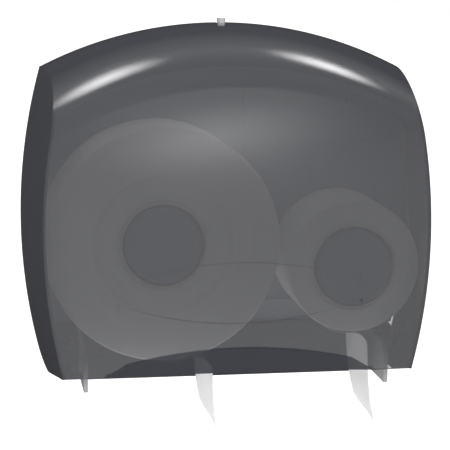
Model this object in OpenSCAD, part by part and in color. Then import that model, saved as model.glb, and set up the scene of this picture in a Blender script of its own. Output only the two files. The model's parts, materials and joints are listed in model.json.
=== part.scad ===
// Wall dispenser for one jumbo toilet roll and one stub roll, with a hinged see-through cover.
// Frame: +Z up, +X to the right, the front faces -Y and the wall is the plane y = 0.
// The origin is the centre of the four wall screw holes. Heights called *_h are
// measured up from the cover's front lip and turned into Z by level().

/* [Cover] */
// Overall width, at the wall
cover_w = 406.4; // [398:0.2:420]
// Depth from the wall to the front face, without the raised lens
cover_d = 146.6; // [140:0.2:156]
// Thickness of the cover's wall
cover_wall = 2.8; // [2:0.1:3.5]
// Height of the cover's top above its front lip
cover_top_h = 329.2; // [322:0.2:345]
// Radius of the arched top, at the wall
top_r = 398.4; // [380:0.2:430]
// Radius of the bowed sides, at the wall
side_r = 565; // [520:1:640]
// Height of the widest place
side_mid_h = 133.5; // [120:0.5:150]
// How much the sides draw in, per millimetre of depth
side_draft = 0.121; // [0.1:0.001:0.14]
// Depth of the rounded shoulder
shoulder_d = 137; // [124:0.5:139]
// Height of the rounded shoulder
shoulder_h = 56; // [48:0.5:70]
// Gap between the cover's back edge and the wall
wall_gap = 1; // [0.5:0.1:2]

/* [Front relief] */
// Height of the scooped arch in the cover's lower front
arch_h = 29.4; // [18:0.2:36]
// Radius of the arch's top
arch_r = 576; // [480:4:640]
// Half width at which the arch's sloping ends would meet a flat front at the lip
arch_half_w = 143.4; // [120:0.2:148]
// Slope of the arch's ends, in degrees
arch_end_angle = 30; // [25:1:50]
// How far the arch steps back at the lip
arch_step = 8.5; // [5:0.5:12]
// Height of the raised lens on the front
lens_h = 59; // [40:1:70]
// Height of the middle of the lens
lens_mid_h = 79; // [70:1:95]
// Radius of the lens's two edges
lens_r = 345; // [250:1:450]
// How far the lens stands out
lens_rise = 0.5; // [0.3:0.1:1]

/* [Cover hinge] */
// Distance of the hinge line from the wall
hinge_back = 24; // [20:0.5:28]
// Radius of the hinge pins
hinge_pin_r = 3; // [2.5:0.1:4]
// Radius of the ears inside the cover
ear_r = 10; // [9:0.5:12]
// Thickness of the wall of the hinge bushes
bush_wall = 1.6; // [1.2:0.1:2]
// Height of the hinge blocks
block_h = 40; // [34:1:44]
// Depth of the hinge blocks
block_d = 52; // [44:1:60]
// Length of the hinge blocks along the hinge line, from the tear plates outwards
block_l = 23.7; // [23.7:0.1:26.2]

/* [Back plate] */
// Thickness of the back plate
plate_t = 3; // [2.5:0.1:4]
// Clearance between the back plate and the cover all round
plate_gap = 2.7; // [1.5:0.1:4]
// Height of the rim round the back plate
rim_h = 9; // [6:0.5:14]
// Thickness of the rim and the ribs
rib_t = 2.4; // [1.8:0.1:3]
// Height of the ribs
rib_h = 2.6; // [1.5:0.1:3]
// Distance between the wall screw holes, across
screw_gap_x = 260; // [220:1:280]
// Distance between the wall screw holes, up
screw_gap_z = 220; // [200:1:240]
// Radius of the wall screw holes
screw_hole_r = 2.75; // [2.2:0.05:3.5]

/* [Rolls] */
// Clearance between a full jumbo roll and a full stub roll
roll_gap = 8.1; // [5:0.1:14]
// Clearance between a full jumbo roll and the cover's side
jumbo_side_gap = 4; // [2:0.5:8]
// Clearance between a full jumbo roll and the level of the cover's lip
jumbo_low_gap = 4.5; // [4:0.5:12]
// Radius of a full stub roll
stub_r = 66; // [55:0.5:68]
// Clearance between a full stub roll and the cover's side
stub_side_gap = 1; // [1:0.5:6]
// Clearance between a full stub roll and the level of the cover's lip
stub_low_gap = 28; // [26:0.5:34]
// Width of the paper
paper_w = 90; // [80:1:95]
// Inner radius of the cardboard cores
core_r = 40; // [38:0.5:43]
// Thickness of the cardboard
core_wall = 2; // [1:0.1:3]

/* [Roll holders] */
// Radius of the fixed posts
post_r = 10; // [8:0.5:14]
// Radius of the posts' flanges
post_flange_r = 32; // [28:1:40]
// Thickness of the posts' flanges
post_flange_t = 6; // [4:0.5:8]
// Running clearance round the posts, pins and the lock spindle
run_gap = 0.06; // [0.03:0.01:0.1]
// Thickness of the hubs' sleeve wall
sleeve_wall = 3; // [2.5:0.5:4]
// Clearance between a hub and its core
core_gap = 0.5; // [0.3:0.1:1]
// Number of ribs on each hub
hub_ribs = 6; // [4:1:10]
// Radius of the hubs' front caps
cap_r = 37; // [33:0.5:37.5]
// How far the caps stand out of the rolls
cap_proud = 5; // [3:0.5:8]

/* [Tear plates] */
// Thickness of the tear plates
fin_t = 4; // [3:0.2:5]
// How far the tear plates hang below the lip
fin_drop = 17.5; // [12:0.5:20]
// Height of the tear plates' top
fin_top_h = 20; // [16:0.5:24]
// Distance of the tear plates' front edge from the wall
fin_front = 130; // [105:1:134]
// Pitch of the teeth along the tear plates' lower edge
tooth_pitch = 3; // [2:0.5:5]
// Height of the teeth
tooth_h = 1.4; // [0.8:0.1:2]

/* [Lock] */
// Radius of the lock spindle's shank
lock_r = 3; // [2.5:0.1:3.5]
// Radius of the lock spindle's head
lock_head_r = 4; // [3.8:0.1:5]
// How far the head stands above the cover
lock_proud = 4.6; // [3:0.2:7]
// Distance of the lock spindle from the wall
lock_back = 8.5; // [8:0.1:10]
// Play between the lock tongue and the catch when locked
tongue_play = 2.5; // [2:0.1:4]
// Thickness of the lock tongue
tongue_t = 2; // [1.5:0.1:2.5]

/* [Paper tails] */
// Place of the jumbo roll's tail, to the right of its axle
jumbo_tail_out = 45.5; // [38:0.5:50]
// Place of the stub roll's tail, to the right of its axle
stub_tail_out = 15; // [10:0.5:17]
// How far the tails hang below the lip
tail_drop = 67; // [40:1:80]
// Thickness of the paper tails
tail_t = 0.6; // [0.4:0.1:1]
// Radius of the bend where a tail leaves its roll
tail_bend_r = 15; // [10:0.5:18]
// Radius of the curl in the hanging part
tail_curl_r = 340; // [250:5:500]

/* [Hidden] */

// Facets on large curves and on small round parts
round_fn = 360;
small_fn = 64;
// Overshoot of cutting shapes
over = 1;
// Gap between parts that pass each other
part_gap = 0.5;

// Colours
smoke_color = [0.30, 0.30, 0.32, 0.55];
plate_color = [0.20, 0.20, 0.21];
dark_color = [0.12, 0.12, 0.13];
hub_color = [0.26, 0.27, 0.29];
fin_color = [0.45, 0.45, 0.47];
steel_color = [0.72, 0.72, 0.74];
nylon_color = [0.80, 0.79, 0.74];
rubber_color = [0.08, 0.08, 0.08];
paper_color = [0.95, 0.95, 0.95];
card_color = [0.62, 0.50, 0.36];

// Height of the wall screws' centre above the lip
screw_mid_h = 140;

// Cover
cover_half_w = cover_w / 2;
side_centre = side_r - cover_half_w;
top_centre_h = cover_top_h - top_r;
dome_r = top_r - shoulder_h;
dome_rise = cover_d - shoulder_d;
shoulder_steps = 18;
dome_steps = 8;
corner_r = hinge_back - wall_gap;
// Angle below the hinge line at which the lower edge leaves the round corner
corner_angle = 180 - acos(corner_r / (cover_d - hinge_back));
corner_steps = 14;
// How fast the scoop below the arch runs back
arch_slope = arch_step / arch_h;

// Hinge
hinge_h = 0;
pin_hole_r = hinge_pin_r + run_gap;
bush_r = pin_hole_r + bush_wall;
ear_l = 7;
ear_inner_x = side_x(hinge_h, hinge_back) - cover_wall - ear_l;
bush_flange_t = 1.2;
bush_flange_r = bush_r + 1.6;
bush_depth = 5;
bush_outer_x = ear_inner_x + bush_depth;
block_outer_x = ear_inner_x - bush_flange_t - part_gap;
block_inner_x = block_outer_x - block_l;
fin_x = block_inner_x - fin_t / 2;
block_low_h = 2 - block_h / 2;
block_high_h = block_low_h + block_h;
block_round_r = 10;
pin_seat = 14;
pin_inner_x = block_outer_x - pin_seat;
pin_outer_x = bush_outer_x - part_gap;
small_screw_r = 2;
small_head_r = 3.8;
small_head_t = 2.4;
small_screw_depth = 9;
block_screw_inset = 6;
block_screw_levels = [block_low_h + block_screw_inset, block_high_h - block_screw_inset];

// Back plate
plate_inset = cover_wall + plate_gap;
plate_low_h = -38;
// Height up to which the plate stands clear of the cover's turning back corner
corner_notch_h = 14;
// Bevel of the plate's lowest corners
plate_bevel = 10;
rib_levels = [40, 205, 262];
rib_columns = [-150, 24, 165];
pad_r = 4;
pad_seat = 1.2;
pad_levels = [95, 172];
pad_depth = plate_t + rim_h / 2;

// Apron between the tear plates
apron_half_w = fin_x - fin_t / 2 - part_gap;
apron_screw_inset = 23.5;
apron_top_h = 20;
apron_low_h = -36;
apron_mid_h = (apron_low_h + apron_top_h) / 2;
apron_wall = 2;
apron_ribs = 7;
apron_screw_x = apron_half_w - apron_screw_inset;

// Tear plates
fin_inner_x = fin_x - fin_t / 2;
fin_back = plate_t + rim_h + 2;
tooth_count = floor((fin_front - fin_back) / tooth_pitch);
rivet_r = 2;
rivet_head_r = 3.4;
rivet_head_t = 1.2;
rivet_depths = [22, 46];
rivet_h = -6;
rivet_seat = 6;
fin_nose_r = 2;
fin_top_cut = 8;

// Webs across the cover's lower front corners, beside the tear plates
web_t = 1.8;
web_l = 24;
web_inner_x = block_inner_x + 2 * part_gap;
web_back = cover_d - cover_wall - web_l;

// Posts, hubs and rolls
ring_t = 1.2;
ring_r = post_r + 9;
ring_back = plate_t + post_flange_t;
hub_back = ring_back + ring_t + 0.3;
hub_flange_r = core_r + 7;
hub_flange_t = 2.2;
roll_back = hub_back + hub_flange_t + 0.3;
roll_front = roll_back + paper_w;
apron_front = roll_back - 1;
stub_axle_h = stub_low_gap + stub_r;
stub_x = side_x(stub_axle_h, roll_front) - cover_wall - stub_side_gap - stub_r;
jumbo_left_x = cover_wall + jumbo_side_gap - side_x(side_mid_h, roll_front);
jumbo_r = (stub_x - stub_r - roll_gap - jumbo_left_x) / 2;
jumbo_x = jumbo_left_x + jumbo_r;
jumbo_axle_h = jumbo_low_gap + jumbo_r;
axles = [[jumbo_x, jumbo_axle_h], [stub_x, stub_axle_h]];
post_front = roll_front - 4;
hub_bore_r = post_r + run_gap;
sleeve_r = hub_bore_r + sleeve_wall;
hub_r = core_r - core_gap;
hub_front = post_front - 0.3;
hub_rib_t = 2.2;
hub_rib_step = 0.4;
hub_web_t = 2.4;
hub_web_front = hub_front - 3;
hub_hoop_l = 14;
hub_hoop_wall = 2.5;
cap_front = roll_front + cap_proud;
cap_wall = 2.2;
cap_edge = 3;
washer_r = 14;
washer_t = 1.5;
retain_screw_r = 2.5;
retain_head_r = 4.6;
retain_head_t = 2.6;
retain_depth = 18;
hex_r = 1.7;
post_screw_count = 3;
post_screw_ring_r = 25;
post_screw_depth = 6;
core_outer_r = core_r + core_wall;

// Lock
lock_head_low_h = cover_top_h - cover_wall - 1.4;
lock_top_h = cover_top_h + lock_proud;
lock_hole_r = lock_head_r + 0.7;
housing_half_w = 11;
housing_top_h = lock_head_low_h - 1;
housing_h = 18;
housing_low_h = housing_top_h - housing_h;
housing_front = lock_back + 7;
tongue_top_h = housing_low_h - part_gap;
tongue_low_h = tongue_top_h - tongue_t;
tongue_w = 6;
// Height left free of the back plate's ribs below the lock's housing
tongue_room = 12;
tongue_lip_t = 2.4;
tongue_lip_h = 8;
nut_t = 3;
nut_r = 5;
lock_low_h = tongue_low_h - nut_t - 1;
lock_slot_w = 1.4;
lock_slot_d = 1.6;
catch_back = housing_front + 4.5;
catch_t = 2;
catch_front = catch_back + catch_t;
catch_half_w = 6;
tongue_l = catch_front + tongue_play + tongue_lip_t - lock_back;
tongue_collar_r = lock_back - plate_t - 2 * part_gap;
catch_low_h = tongue_top_h + part_gap;
catch_foot_l = 12;
catch_foot_front = catch_front + catch_foot_l;
catch_foot_t = 2;
housing_screw_x = 7.2;
housing_screw_r = 1.5;
housing_screw_head_r = 2.8;
housing_seat = plate_t + 6;

// Paper tails
tail_lap = 26;
tail_steps = 10;
tail_gap = 0.4;
tail_back_drop = tail_drop - 8;

// Z of a height above the lip
function level(h) = h - screw_mid_h;
// Half width of the cover at a height and a distance from the wall
function side_x(h, depth) =
    sqrt(pow(side_r - side_draft * depth, 2) - pow(h - side_mid_h, 2)) - side_centre;
// Half width of the back plate at a height
function plate_x(h) = sqrt(pow(side_r - plate_inset, 2) - pow(h - side_mid_h, 2)) - side_centre;

// End of a pad that just clears the closed cover at the pad's narrowest corner
function pad_end_x(h) =
    side_x(side_mid_h + abs(h - side_mid_h) + pad_r, pad_depth + pad_r) - cover_wall - part_gap;

// Places the children at a point given by x, distance from the wall and height
module place(x, depth, h) {
    translate([x, -depth, level(h)]) children();
}

// Points the children's Z axis out of the wall
module face_front() {
    rotate([90, 0, 0]) children();
}

// Points the children's Z axis along +X
module face_right() {
    rotate([0, 90, 0]) children();
}

// Box from one x, depth and height to another
module block(x0, x1, depth0, depth1, h0, h1) {
    translate([x0, -depth1, level(h0)]) cube([x1 - x0, depth1 - depth0, h1 - h0]);
}

// Cylinder that stands out of the wall from one depth to another
module bar_out(x, h, r, depth0, depth1, fn = small_fn) {
    place(x, depth0, h) face_front() cylinder(r = r, h = depth1 - depth0, $fn = fn);
}

// Cylinder along X
module bar_across(x0, x1, depth, h, r) {
    place(x0, depth, h) face_right() cylinder(r = r, h = x1 - x0, $fn = small_fn);
}

// Upright cylinder
module bar_up(x, depth, h0, h1, r) {
    place(x, depth, h0) cylinder(r = r, h = h1 - h0, $fn = small_fn);
}

// Mirror image for the right-hand side when side is 1
module on_side(side) {
    mirror([side > 0 ? 0 : 1, 0, 0]) children();
}

// Solid bounded by the bowed side on +X, drawn in by inset
module side_cone(inset) {
    r_wall = side_r - inset + side_draft * over;
    r_front = side_r - inset - side_draft * (cover_d + over);
    place(-side_centre, -over, side_mid_h) face_front() rotate([0, 0, 180])
        cylinder(r1 = r_wall, r2 = r_front, h = cover_d + 2 * over, $fn = round_fn);
}

// Dome and shoulder turned about the axis of the arched top, drawn in by inset
module crown(inset) {
    shoulder = [for (i = [0 : shoulder_steps]) let (a = 90 - 90 * i / shoulder_steps)
        [dome_r + (shoulder_h - inset) * sin(a), (shoulder_d - inset) * cos(a)]];
    dome = [for (i = [1 : dome_steps]) let (r = dome_r * (1 - i / dome_steps))
        [r, cover_d - inset - dome_rise * pow(r / dome_r, 2)]];
    edge = [[0, -over], [top_r - inset, -over]];
    place(0, 0, top_centre_h) face_front()
        rotate_extrude($fn = round_fn) polygon(concat(edge, shoulder, dome));
}

// The cover's outer form, drawn in by inset
module hood(inset) {
    intersection() {
        side_cone(inset);
        mirror([1, 0, 0]) side_cone(inset);
        crown(inset);
    }
}

// Side view of the space that the cover fills: round lower back corner and rising lower edge
module side_profile() {
    corner = [for (i = [0 : corner_steps]) let (a = -corner_angle * i / corner_steps)
        [-hinge_back + corner_r * cos(a), level(hinge_h) + corner_r * sin(a)]];
    front_y = -cover_d - lens_rise - over;
    front = [[-cover_d, level(0)], [front_y, level(0)]];
    top = [[front_y, level(cover_top_h + over)], [-wall_gap, level(cover_top_h + over)]];
    rotate([90, 0, 90]) translate([0, 0, -cover_w])
        linear_extrude(2 * cover_w) polygon(concat(corner, front, top));
}

// Wedge beyond the plane that ends the scoop on the right, moved back by inset
module arch_end(inset) {
    front = inset + 2 * over;
    place(arch_half_w, cover_d - inset, 0) rotate([0, 90 + arch_end_angle, 0])
        linear_extrude(cover_w, center = true)
            polygon([[-front / arch_slope, -front], [apron_half_w, arch_slope * apron_half_w],
                [-cover_w, arch_slope * apron_half_w], [-cover_w, -front]]);
}

// Scoop below the arch, moved back by inset
module arch_scoop(inset) {
    low_r = arch_r - arch_h;
    length = arch_step + inset + over;
    difference() {
        place(0, cover_d - arch_step - inset, -low_r) face_front()
            cylinder(r1 = low_r, r2 = low_r + length / arch_slope, h = length, $fn = round_fn);
        arch_end(inset);
        mirror([1, 0, 0]) arch_end(inset);
    }
}

// Lens-shaped pad on the front
module lens_pad() {
    shift = lens_r - lens_h / 2;
    back = shoulder_d - arch_step;
    intersection() {
        hood(-lens_rise);
        bar_out(0, lens_mid_h - shift, lens_r, back, cover_d + lens_rise + over, round_fn);
        bar_out(0, lens_mid_h + shift, lens_r, back, cover_d + lens_rise + over, round_fn);
    }
}

// Hinge ear inside the cover's right wall
module cover_ear() {
    intersection() {
        hood(cover_wall / 2);
        bar_across(ear_inner_x, cover_half_w, hinge_back, hinge_h, ear_r);
    }
}

module cover() {
    color(smoke_color) difference() {
        union() {
            intersection() {
                difference() {
                    union() {
                        hood(0);
                        lens_pad();
                    }
                    arch_scoop(0);
                    difference() {
                        hood(cover_wall);
                        arch_scoop(cover_wall);
                        for (side = [-1, 1]) on_side(side)
                            block(web_inner_x, cover_w, web_back, cover_d, -over, web_t);
                    }
                }
                side_profile();
            }
            for (side = [-1, 1]) on_side(side) cover_ear();
        }
        for (side = [-1, 1]) on_side(side)
            bar_across(ear_inner_x - over, bush_outer_x, hinge_back, hinge_h, bush_r);
        bar_up(0, lock_back, housing_top_h, lock_top_h, lock_hole_r);
        block(-lock_hole_r, lock_hole_r, -over, lock_back, housing_top_h, lock_top_h);
    }
}

module hinge_bushes() {
    color(nylon_color) for (side = [-1, 1]) on_side(side) difference() {
        union() {
            bar_across(ear_inner_x, bush_outer_x, hinge_back, hinge_h, bush_r);
            bar_across(ear_inner_x - bush_flange_t, ear_inner_x, hinge_back, hinge_h, bush_flange_r);
        }
        bar_across(ear_inner_x - bush_flange_t - over, bush_outer_x + over, hinge_back, hinge_h,
            pin_hole_r);
    }
}

module cover_catch() {
    color(steel_color) difference() {
        intersection() {
            hood(cover_wall);
            block(-catch_half_w, catch_half_w, catch_back, catch_foot_front, catch_low_h, cover_top_h);
        }
        intersection() {
            hood(cover_wall + catch_foot_t);
            block(-catch_half_w - over, catch_half_w + over, catch_front, catch_foot_front + over,
                catch_low_h - over, cover_top_h);
        }
    }
}

// Outline of the back plate as a solid from one depth to another, drawn in by inset
module plate_form(inset, depth0, depth1) {
    intersection() {
        bar_out(-side_centre, side_mid_h, side_r - inset, depth0, depth1, round_fn);
        bar_out(side_centre, side_mid_h, side_r - inset, depth0, depth1, round_fn);
        bar_out(0, top_centre_h, top_r - inset, depth0, depth1, round_fn);
        block(-cover_w, cover_w, depth0, depth1, plate_low_h + inset - plate_inset, cover_top_h);
    }
}

module back_plate() {
    rib_front = plate_t + rib_h;
    color(plate_color) difference() {
        union() {
            plate_form(plate_inset, 0, plate_t);
            difference() {
                plate_form(plate_inset, 0, plate_t + rim_h);
                plate_form(plate_inset + rib_t, -over, plate_t + rim_h + over);
            }
            intersection() {
                plate_form(plate_inset + rib_t / 2, 0, rib_front);
                union() {
                    for (h = rib_levels)
                        block(-cover_w, cover_w, 0, rib_front, h, h + rib_t);
                    for (x = rib_columns)
                        block(x, x + rib_t, 0, rib_front, apron_top_h, cover_top_h);
                }
            }
            for (x = [-1, 1], z = [-1, 1])
                bar_out(x * screw_gap_x / 2, screw_mid_h + z * screw_gap_z / 2,
                    screw_hole_r + 5, 0, rib_front);
        }
        for (x = [-1, 1], z = [-1, 1])
            bar_out(x * screw_gap_x / 2, screw_mid_h + z * screw_gap_z / 2,
                screw_hole_r, -over, rib_front + over);
        for (axle = axles)
            bar_out(axle[0], axle[1], post_flange_r + part_gap, plate_t, rib_front + over);
        block(-housing_half_w - part_gap, housing_half_w + part_gap, plate_t, plate_t + rim_h + over,
            housing_low_h - tongue_room, cover_top_h + over);
        for (side = [-1, 1]) on_side(side)
            block(fin_x - fin_t, cover_w, plate_t, plate_t + rim_h + over,
                plate_low_h - over, block_high_h + part_gap);
        block(-fin_x, fin_x, plate_t, plate_t + rim_h + over,
            plate_low_h - over, apron_top_h + part_gap);
        for (side = [-1, 1]) on_side(side)
            block(block_outer_x + part_gap, cover_w, -over, plate_t + over,
                plate_low_h - over, corner_notch_h);
        for (side = [-1, 1]) on_side(side)
            place(block_outer_x + part_gap, -over, plate_low_h) face_front()
                linear_extrude(plate_t + 2 * over) polygon([[-plate_bevel - over, -over], [over, -over],
                    [over, plate_bevel + over]]);
        for (side = [-1, 1], h = pad_levels) on_side(side)
            bar_across(plate_x(h) - pad_seat, cover_w, pad_depth, h, pad_r);
    }
}

// Rubber pads, seated in the rim, that the closed cover's sides rest against
module cover_pads() {
    color(rubber_color) for (side = [-1, 1], h = pad_levels) on_side(side)
        bar_across(plate_x(h) - pad_seat, pad_end_x(h), pad_depth, h, pad_r);
}

// Apron across the bottom of the back plate that the paper runs down
module paper_apron() {
    pitch = 2 * apron_half_w / (apron_ribs - 1);
    color(dark_color) difference() {
        union() {
            difference() {
                block(-apron_half_w, apron_half_w, plate_t, apron_front, apron_low_h, apron_top_h);
                block(-apron_half_w + apron_wall, apron_half_w - apron_wall, plate_t - over,
                    apron_front - apron_wall, apron_low_h - over, apron_top_h - apron_wall);
            }
            for (i = [0 : apron_ribs - 1])
                block(-apron_half_w + i * pitch - (i > 0 ? apron_wall / 2 : 0),
                    -apron_half_w + i * pitch + (i < apron_ribs - 1 ? apron_wall / 2 : 0),
                    plate_t, apron_front - apron_wall, apron_low_h, apron_top_h - apron_wall);
            for (side = [-1, 1])
                bar_out(side * apron_screw_x, apron_mid_h, small_head_r + apron_wall,
                    plate_t, apron_front - apron_wall);
        }
        for (side = [-1, 1]) {
            bar_out(side * apron_screw_x, apron_mid_h, small_screw_r, plate_t - over, apron_front);
            bar_out(side * apron_screw_x, apron_mid_h, small_head_r + part_gap,
                apron_front - small_head_t, apron_front + over);
        }
    }
}

// Pan head screw that points at the wall, with its head's seat at the given depth
module small_screw(x, h, seat, depth, shank_r = small_screw_r, head_r = small_head_r) {
    difference() {
        union() {
            bar_out(x, h, shank_r, seat - depth, seat);
            bar_out(x, h, head_r, seat, seat + small_head_t);
        }
        bar_out(x, h, head_r / 3, seat + small_head_t / 2, seat + small_head_t + over);
    }
}

module apron_screws() {
    color(steel_color) for (side = [-1, 1])
        small_screw(side * apron_screw_x, apron_mid_h, apron_front - small_head_t,
            apron_front - small_head_t - plate_t);
}

// Right-hand hinge block
module hinge_block() {
    mid_x = (block_inner_x + block_outer_x) / 2;
    block_front = plate_t + block_d;
    difference() {
        intersection() {
            hood(cover_wall + plate_gap);
            union() {
                block(block_inner_x, block_outer_x, plate_t, block_front - block_round_r,
                    block_low_h, block_high_h);
                block(block_inner_x, block_outer_x, plate_t, block_front,
                    block_low_h, block_high_h - block_round_r);
                bar_across(block_inner_x, block_outer_x, block_front - block_round_r,
                    block_high_h - block_round_r, block_round_r);
            }
        }
        bar_across(pin_inner_x, block_outer_x + over, hinge_back, hinge_h, hinge_pin_r);
        for (h = block_screw_levels) {
            bar_out(mid_x, h, small_screw_r, plate_t - over, plate_t + small_screw_depth);
            bar_out(mid_x, h, small_head_r + part_gap, plate_t + small_screw_depth,
                block_front + over);
        }
        for (depth = rivet_depths)
            bar_across(block_inner_x - over, block_inner_x + rivet_seat, depth, rivet_h, rivet_r);
    }
}

module hinge_block_left() {
    color(dark_color) on_side(-1) hinge_block();
}

module hinge_block_right() {
    color(dark_color) on_side(1) hinge_block();
}

module hinge_block_screws() {
    color(steel_color) for (side = [-1, 1], h = block_screw_levels)
        small_screw(side * (block_inner_x + block_outer_x) / 2, h, plate_t + small_screw_depth,
            small_screw_depth);
}

module hinge_pins() {
    color(steel_color) for (side = [-1, 1]) on_side(side)
        bar_across(pin_inner_x, pin_outer_x, hinge_back, hinge_h, hinge_pin_r);
}

// Right-hand tear plate: a toothed plate that stands out of the wall
module tear_plate() {
    low_h = -fin_drop;
    teeth = [for (i = [0 : tooth_count - 1], k = [0, 1])
        [-fin_front + fin_nose_r + (i + k / 2) * tooth_pitch, level(low_h + k * tooth_h)]];
    edge = [
        [-fin_back, level(low_h + tooth_h)],
        [-fin_back, level(fin_top_h)],
        [-fin_front + fin_top_cut, level(fin_top_h)],
        [-fin_front, level(fin_top_h - fin_top_cut)],
        [-fin_front, level(low_h + fin_nose_r)],
    ];
    difference() {
        translate([fin_inner_x, 0, 0]) rotate([90, 0, 90])
            linear_extrude(fin_t) polygon(concat(teeth, edge));
        for (depth = rivet_depths)
            bar_across(fin_inner_x - over, block_inner_x + over, depth, rivet_h, rivet_r);
    }
}

module tear_plate_left() {
    color(fin_color) on_side(-1) tear_plate();
}

module tear_plate_right() {
    color(fin_color) on_side(1) tear_plate();
}

module tear_plate_rivets() {
    color(steel_color) for (side = [-1, 1], depth = rivet_depths) on_side(side) {
        bar_across(fin_inner_x, block_inner_x + rivet_seat, depth, rivet_h, rivet_r);
        bar_across(fin_inner_x - rivet_head_t, fin_inner_x, depth, rivet_h, rivet_head_r);
    }
}

// Fixed post for one roll
module post(x, h) {
    color(dark_color) difference() {
        union() {
            bar_out(x, h, post_flange_r, plate_t, plate_t + post_flange_t);
            bar_out(x, h, post_r, plate_t, post_front);
        }
        bar_out(x, h, retain_screw_r, post_front - retain_depth, post_front + over);
        for (i = [0 : post_screw_count - 1]) let (a = 90 + 360 * i / post_screw_count)
            bar_out(x + post_screw_ring_r * cos(a), h + post_screw_ring_r * sin(a),
                housing_screw_r, plate_t - over, plate_t + post_flange_t + over);
    }
}

module jumbo_post() {
    post(jumbo_x, jumbo_axle_h);
}

module stub_post() {
    post(stub_x, stub_axle_h);
}

module post_screws() {
    head_t = 1;
    color(steel_color)
        for (axle = axles, i = [0 : post_screw_count - 1])
            let (a = 90 + 360 * i / post_screw_count) {
                bar_out(axle[0] + post_screw_ring_r * cos(a), axle[1] + post_screw_ring_r * sin(a),
                    housing_screw_r, plate_t, plate_t + post_flange_t);
                bar_out(axle[0] + post_screw_ring_r * cos(a), axle[1] + post_screw_ring_r * sin(a),
                    housing_screw_head_r, plate_t + post_flange_t, plate_t + post_flange_t + head_t);
            }
}

// Friction ring that keeps a roll from running on
module friction_ring(x, h) {
    color(rubber_color) difference() {
        bar_out(x, h, ring_r, ring_back, ring_back + ring_t);
        bar_out(x, h, post_r, ring_back - over, ring_back + ring_t + over);
    }
}

module jumbo_friction_ring() {
    friction_ring(jumbo_x, jumbo_axle_h);
}

module stub_friction_ring() {
    friction_ring(stub_x, stub_axle_h);
}

module retaining_washer(x, h) {
    color(steel_color) difference() {
        bar_out(x, h, washer_r, post_front, post_front + washer_t);
        bar_out(x, h, retain_screw_r, post_front - over, post_front + washer_t + over);
    }
}

module jumbo_retaining_washer() {
    retaining_washer(jumbo_x, jumbo_axle_h);
}

module stub_retaining_washer() {
    retaining_washer(stub_x, stub_axle_h);
}

module retaining_screws() {
    seat = post_front + washer_t;
    color(steel_color) for (axle = axles)
        difference() {
            union() {
                bar_out(axle[0], axle[1], retain_screw_r, post_front - retain_depth, seat);
                bar_out(axle[0], axle[1], retain_head_r, seat, seat + retain_head_t);
            }
            bar_out(axle[0], axle[1], hex_r, seat + retain_head_t / 2, seat + retain_head_t + over);
        }
}

// Ribbed hub that a roll's core sits on
module hub(x, h) {
    color(hub_color) difference() {
        union() {
            bar_out(x, h, sleeve_r, hub_back, hub_front);
            bar_out(x, h, hub_flange_r, hub_back, hub_back + hub_flange_t, round_fn);
            bar_out(x, h, hub_r, hub_web_front - hub_web_t, hub_web_front, round_fn);
            difference() {
                bar_out(x, h, hub_r, hub_web_front - hub_hoop_l, hub_web_front, round_fn);
                bar_out(x, h, hub_r - hub_hoop_wall, hub_web_front - hub_hoop_l - over,
                    hub_web_front + over, round_fn);
            }
            for (i = [0 : hub_ribs - 1])
                place(x, hub_back, h) face_front() rotate([0, 0, 360 * i / hub_ribs])
                    translate([hub_bore_r + hub_rib_step, -hub_rib_t / 2, 0])
                        cube([hub_r - hub_bore_r - 2 * hub_rib_step, hub_rib_t,
                            hub_web_front - hub_back]);
        }
        bar_out(x, h, hub_bore_r, hub_back - over, hub_front + over);
    }
}

module jumbo_hub() {
    hub(jumbo_x, jumbo_axle_h);
}

module stub_hub() {
    hub(stub_x, stub_axle_h);
}

// Round cap that closes the front of a hub
module hub_cap(x, h) {
    depth = cap_front - hub_web_front;
    profile = [
        [0, depth - cap_wall],
        [cap_r - cap_wall, depth - cap_wall - cap_edge],
        [cap_r - cap_wall, 0],
        [cap_r, 0],
        [cap_r, depth - cap_edge],
        [cap_r - cap_edge, depth],
        [0, depth],
    ];
    color(hub_color) place(x, hub_web_front, h) face_front()
        rotate_extrude($fn = round_fn) polygon(profile);
}

module jumbo_hub_cap() {
    hub_cap(jumbo_x, jumbo_axle_h);
}

module stub_hub_cap() {
    hub_cap(stub_x, stub_axle_h);
}

// Hollow roll or core
module tube_out(x, h, outer, inner) {
    difference() {
        bar_out(x, h, outer, roll_back, roll_front, round_fn);
        bar_out(x, h, inner, roll_back - over, roll_front + over, round_fn);
    }
}

module jumbo_core() {
    color(card_color) tube_out(jumbo_x, jumbo_axle_h, core_outer_r, core_r);
}

module stub_core() {
    color(card_color) tube_out(stub_x, stub_axle_h, core_outer_r, core_r);
}

module jumbo_roll() {
    color(paper_color) tube_out(jumbo_x, jumbo_axle_h, jumbo_r, core_outer_r);
}

module stub_roll() {
    color(paper_color) tube_out(stub_x, stub_axle_h, stub_r, core_outer_r);
}

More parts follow.
